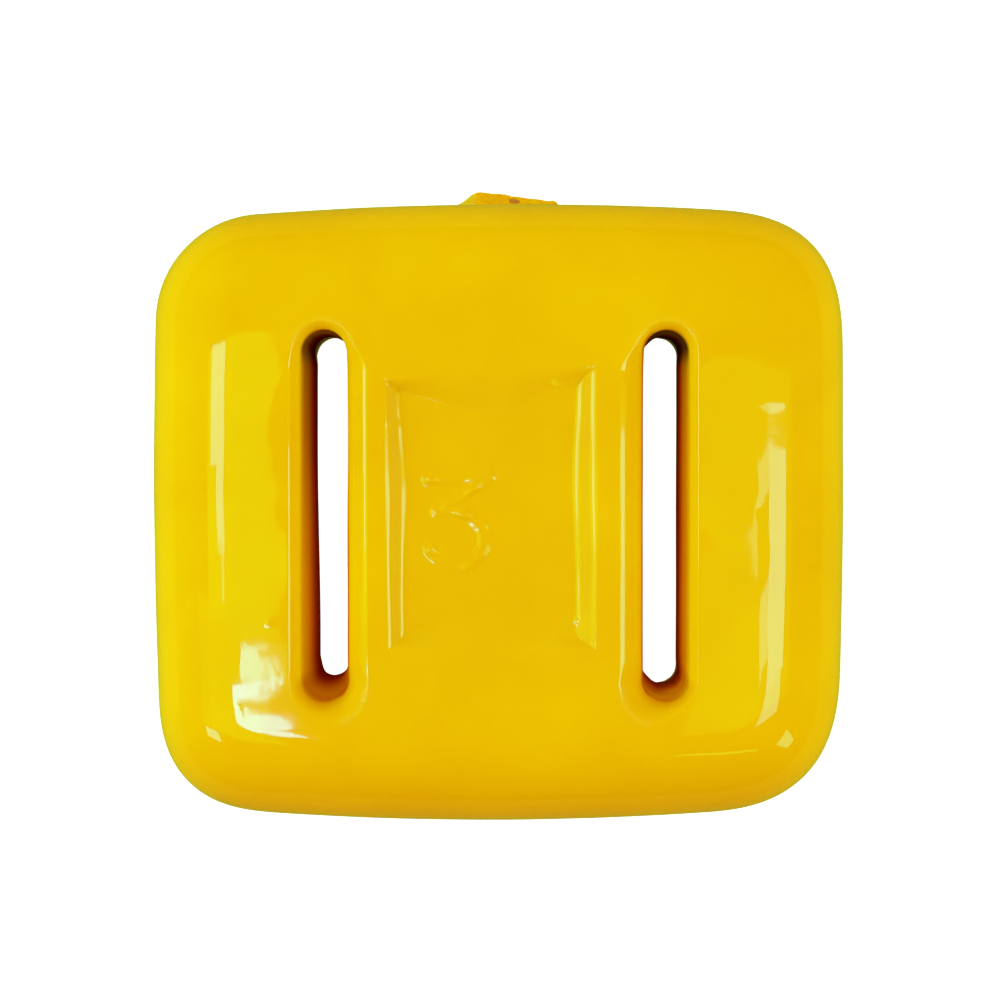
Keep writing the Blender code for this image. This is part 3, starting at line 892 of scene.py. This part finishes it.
# painted shade also where the bar's side turns down into them, and on the rims' outer sides
turned_shade = smoothstep((in_wall + 0.60) / 0.50) * smoothstep((pz - 28.5) / 2.5) * smoothstep((24.9 - np.abs(px + 0.3)) / 1.8)
turned_shade = turned_shade * np.where(px < 0, 0.80 * smoothstep((15.0 - py) / 24.0), 0.80)
shaded = np.where(px < 0, 0.03, 0.11) * smoothstep((in_wall + 1.3) / 0.6) * smoothstep((pz - 31.0) / 2.0) * smoothstep((np.abs(px + 0.3) - 26.0) / 2.0)
painted_shade_share = np.maximum((1 - (1 - side_painted_shade) * (1 - end_painted_shade) * (1 - turned_shade)) * slot_share, np.maximum(shaded, end_rim_shade))
coat.data.attributes.new("painted_shade", "FLOAT", "POINT").data.foreach_set("value", painted_shade_share.astype(np.float32))
# painted shade: near black down the slots' upper ends
end_shade_share = np.where(px < 0, 0.60, 0.85) * smoothstep((py - SLOT_Y - 22.5) / 4.0) * smoothstep((34.2 - pz) / 5.0) * slot_share
coat.data.attributes.new("ends", "FLOAT", "POINT").data.foreach_set("value", end_shade_share.astype(np.float32))
# round the slots' ends the rims' bends have lost their gloss
bend = np.minimum(np.abs(np.add(*slot_field(px, py, 0))), np.abs(np.add(*slot_field(px, py, 1))))
dull_share = smoothstep((np.abs(py - SLOT_Y) - 25.2) / 1.5) * np.where(py > 0, 1.0, smoothstep((25.0 - np.abs(px + 0.3)) / 2.0)) * np.exp(-((bend / 0.75) ** 2)) * smoothstep((pz - 30.0) / 2.0)
coat.data.attributes.new("dull", "FLOAT", "POINT").data.foreach_set("value", dull_share.astype(np.float32))


# ---------------------------------------------------------------- floor
def floor_material():
    """A pale, even floor. It is lit from within where the camera sees it, so that it stays white, and fully so inside the weight's footprint."""
    n = Nodes("studio_floor")
    grain = n.ramp(n.noise(40.0, 3.0), 0.4, 0.6)
    n.link(n.mix(grain, (0.80, 0.80, 0.80, 1), (0.82, 0.82, 0.82, 1)), n.shader.inputs["Base Color"])
    n.shader.inputs["Roughness"].default_value = 0.9
    at = n.add("ShaderNodeSeparateXYZ", {"Vector": n.place(1.0)})
    across = n.math("LESS_THAN", n.math("ABSOLUTE", at.outputs["X"]), 42.0)
    along = n.math("LESS_THAN", n.math("ABSOLUTE", at.outputs["Y"]), 36.0)
    under = n.math("MULTIPLY", across, along)
    glow = n.add("ShaderNodeEmission", {"Color": (1, 1, 1, 1), "Strength": n.ramp(under, 0.0, 1.0, 0.72, 1.1)})
    both = n.add("ShaderNodeAddShader")
    n.link(n.shader.outputs[0], both.inputs[0])
    n.link(glow.outputs[0], both.inputs[1])
    rays = n.add("ShaderNodeLightPath")
    choose = n.add("ShaderNodeMixShader", {0: rays.outputs["Is Camera Ray"]})
    n.link(n.shader.outputs[0], choose.inputs[1])
    n.link(both.outputs[0], choose.inputs[2])
    dim = n.add("ShaderNodeEmission", {"Color": (0.71, 1.0, 0.08, 1), "Strength": 0.42})
    last = n.add("ShaderNodeMixShader", {0: rays.outputs["Is Glossy Ray"]})
    n.link(choose.outputs[0], last.inputs[1])
    n.link(dim.outputs[0], last.inputs[2])
    n.link(last.outputs[0], n.out.inputs["Surface"])
    return n.mat


ground = bpy.data.meshes.new("studio_floor")
ground_bm = bmesh.new()
bmesh.ops.create_grid(ground_bm, x_segments=8, y_segments=8, size=3.0)
ground_bm.to_mesh(ground)
ground_bm.free()
floor = bpy.data.objects.new("studio_floor", ground)
bpy.context.scene.collection.objects.link(floor)
floor.location.z = -0.00005
floor.data.materials.append(floor_material())

# ---------------------------------------------------------------- light
world = bpy.data.worlds.new("studio")
bpy.context.scene.world = world
world.use_nodes = True
wt = world.node_tree
wt.nodes.clear()
path = wt.nodes.new("ShaderNodeLightPath")
pale = wt.nodes.new("ShaderNodeBackground")
pale.inputs["Color"].default_value = (1.0, 0.569, 0.28, 1)
pale.inputs["Strength"].default_value = 0.603
dark = wt.nodes.new("ShaderNodeBackground")
dark.inputs["Color"].default_value = (0, 0, 0, 1)
seen = wt.nodes.new("ShaderNodeBackground")
seen.inputs["Strength"].default_value = 1.0
first = wt.nodes.new("ShaderNodeMixShader")
second = wt.nodes.new("ShaderNodeMixShader")
end = wt.nodes.new("ShaderNodeOutputWorld")
wt.links.new(path.outputs["Is Glossy Ray"], first.inputs[0])
wt.links.new(pale.outputs[0], first.inputs[1])
wt.links.new(dark.outputs[0], first.inputs[2])
wt.links.new(path.outputs["Is Camera Ray"], second.inputs[0])
wt.links.new(first.outputs[0], second.inputs[1])
wt.links.new(seen.outputs[0], second.inputs[2])
wt.links.new(second.outputs[0], end.inputs["Surface"])


def softbox(name, at, size, radiance, colour=(1, 1, 1), aim=(0.0, 0.0, 0.0), glossy=True, diffuse=True, turn=0.0):
    """A rectangular light. Radiance is its brightness as a mirror would show it."""
    lamp = bpy.data.lights.new(name, "AREA")
    lamp.shape = "RECTANGLE"
    lamp.size, lamp.size_y = size
    lamp.energy = radiance * math.pi * size[0] * size[1]
    lamp.color = colour
    made = bpy.data.objects.new(name, lamp)
    made.location = at
    way = Vector(aim) - Vector(at)
    made.rotation_mode = "QUATERNION"
    made.rotation_quaternion = way.to_track_quat("-Z", "Y") @ Quaternion((0, 0, 1), math.radians(turn))
    made.visible_glossy = glossy
    made.visible_diffuse = diffuse
    made.visible_camera = False
    bpy.context.scene.collection.objects.link(made)
    return made


# the sheen: seen only as reflections, and lemon as it looks on this yellow
softbox("left_window", (-0.239, 0.012, 0.500), (0.072, 0.084), 3.9, (0.02, 0.86, 1.0), aim=(-0.239, 0.012, 0), diffuse=False)
softbox("left_window_pane", (-0.313, 0.033, 0.500), (0.076, 0.044), 3.7, (0.02, 0.86, 1.0), aim=(-0.313, 0.033, 0), diffuse=False)
softbox("left_pale", (-0.247, -0.004, 0.501), (0.306, 0.116), 2.5, (0.05, 1.0, 0.02), aim=(-0.247, -0.004, 0), diffuse=False)
softbox("left_pale_low", (-0.257, -0.132, 0.501), (0.326, 0.140), 1.9, (0.05, 1.0, 0.02), aim=(-0.257, -0.132, 0), diffuse=False)
softbox("left_pale_edge", (-0.520, -0.132, 0.501), (0.200, 0.140), 1.1, (0.05, 1.0, 0.02), aim=(-0.520, -0.132, 0), diffuse=False)
softbox("left_strip", (-0.217, -0.0410, 0.500), (0.020, 0.022), 2.4, (0.02, 0.90, 0.75), aim=(-0.217, -0.0410, 0), diffuse=False)
softbox("right_window", (0.262, -0.0367, 0.500), (0.180, 0.1107), 4.9, (0.0, 0.92, 0.80), aim=(0.262, -0.0367, 0), diffuse=False)
softbox("right_window_low", (0.2435, -0.1285, 0.500), (0.143, 0.073), 4.1, (0.0, 0.95, 0.70), aim=(0.2435, -0.1285, 0), diffuse=False)
softbox("right_pane_top", (0.136, 0.003, 0.500), (0.072, 0.023), 3.0, (0.0, 1.0, 0.62), aim=(0.136, 0.003, 0), diffuse=False, turn=8)
softbox("right_pane_mid", (0.0962, -0.022, 0.500), (0.0072, 0.028), 2.6, (0.0, 1.0, 0.50), aim=(0.0962, -0.022, 0), diffuse=False)
softbox("right_pane_low", (0.145, -0.060, 0.500), (0.054, 0.036), 3.0, (0.0, 1.0, 0.75), aim=(0.145, -0.060, 0), diffuse=False, turn=10)
softbox("right_pale", (0.255, -0.044, 0.501), (0.360, 0.168), 1.4, (0.05, 1.0, 0.02), aim=(0.255, -0.044, 0), diffuse=False)
softbox("low_lamp", (-0.1285, -0.1060, 0.500), (0.043, 0.029), 14.0, (0.04, 0.68, 1.0), aim=(-0.1285, -0.1060, 0), diffuse=False)
softbox("low_lamp_side", (-0.1000, -0.1070, 0.500), (0.021, 0.030), 14.0, (0.04, 0.68, 1.0), aim=(-0.1000, -0.1070, 0), diffuse=False, turn=-31)
softbox("low_lamp_tip", (-0.0885, -0.1240, 0.500), (0.011, 0.026), 14.0, (0.04, 0.68, 1.0), aim=(-0.0885, -0.1240, 0), diffuse=False, turn=8)
softbox("low_pane", (-0.12775, -0.0835, 0.500), (0.0645, 0.0070), 16.0, (0.05, 0.62, 1.0), aim=(-0.12775, -0.0835, 0), diffuse=False, turn=3)
softbox("stem_pane", (-0.139, -0.0905, 0.500), (0.040, 0.0065), 14.0, (0.05, 0.68, 1.0), aim=(-0.139, -0.0905, 0), diffuse=False, turn=-5)
softbox("small_pane", (-0.1043, -0.0710, 0.500), (0.0110, 0.0120), 9.5, (0.0, 0.82, 1.0), aim=(-0.1043, -0.0710, 0), diffuse=False, turn=-14)
softbox("small_pane_low", (-0.0980, -0.0745, 0.500), (0.0036, 0.0085), 9.5, (0.0, 0.82, 1.0), aim=(-0.0980, -0.0745, 0), diffuse=False)
softbox("spot_lamp", (-0.450, -0.250, 0.500), (0.220, 0.070), 5.6, (0.0, 1.0, 0.68), aim=(-0.450, -0.250, 0), diffuse=False, turn=3)
softbox("low_strip", (0.190, -0.350, 0.500), (0.220, 0.026), 3.6, (0.05, 1.0, 0.05), aim=(0.190, -0.350, 0), diffuse=False, turn=-24)
softbox("corner_lamp", (0.780, -0.570, 0.500), (0.600, 0.140), 4.4, (0.0, 1.0, 0.38), aim=(0.780, -0.570, 0), diffuse=False, turn=-35)
# the shape's shading: warmer from above and below, cooler from the sides
softbox("slot_light", (0.0, 0.62, 0.80), (0.50, 0.40), 3.10, (0.243, 1.0, 0.30), glossy=False)
softbox("overhead", (0.05, 0.10, 1.20), (1.2, 1.2), 0.664, (0.506, 1.0, 0.25), glossy=False)
softbox("left_fill", (-1.10, 0.10, 0.50), (0.6, 1.0), 7.99, (0.326, 1.0, 0.70), glossy=False)
softbox("right_fill", (1.10, -0.10, 0.50), (0.6, 1.0), 5.47, (0.368, 1.0, 0.76), glossy=False)
softbox("upper_fill", (0.0, 1.10, 0.50), (1.0, 0.6), 0.16, (1.0, 0.12, 0.79), glossy=False)

# ---------------------------------------------------------------- camera
lens = bpy.data.cameras.new("camera")
camera = bpy.data.objects.new("camera", lens)
bpy.context.scene.collection.objects.link(camera)
bpy.context.scene.camera = camera
lens.sensor_width = 36.0
lens.lens = 2266.7 * 36 / 1000
camera.location = (0.00352, 0.01055, THICK * MM + 0.345)
camera.rotation_mode = "XYZ"
camera.rotation_euler = (math.radians(-1.366), math.radians(0.504), 0.0)
lens.clip_start, lens.clip_end = 0.01, 20.0

scene = bpy.context.scene
scene.view_settings.view_transform = "Standard"
scene.view_settings.look = "None"
scene.view_settings.exposure = 0.0
scene.view_settings.gamma = 1.0
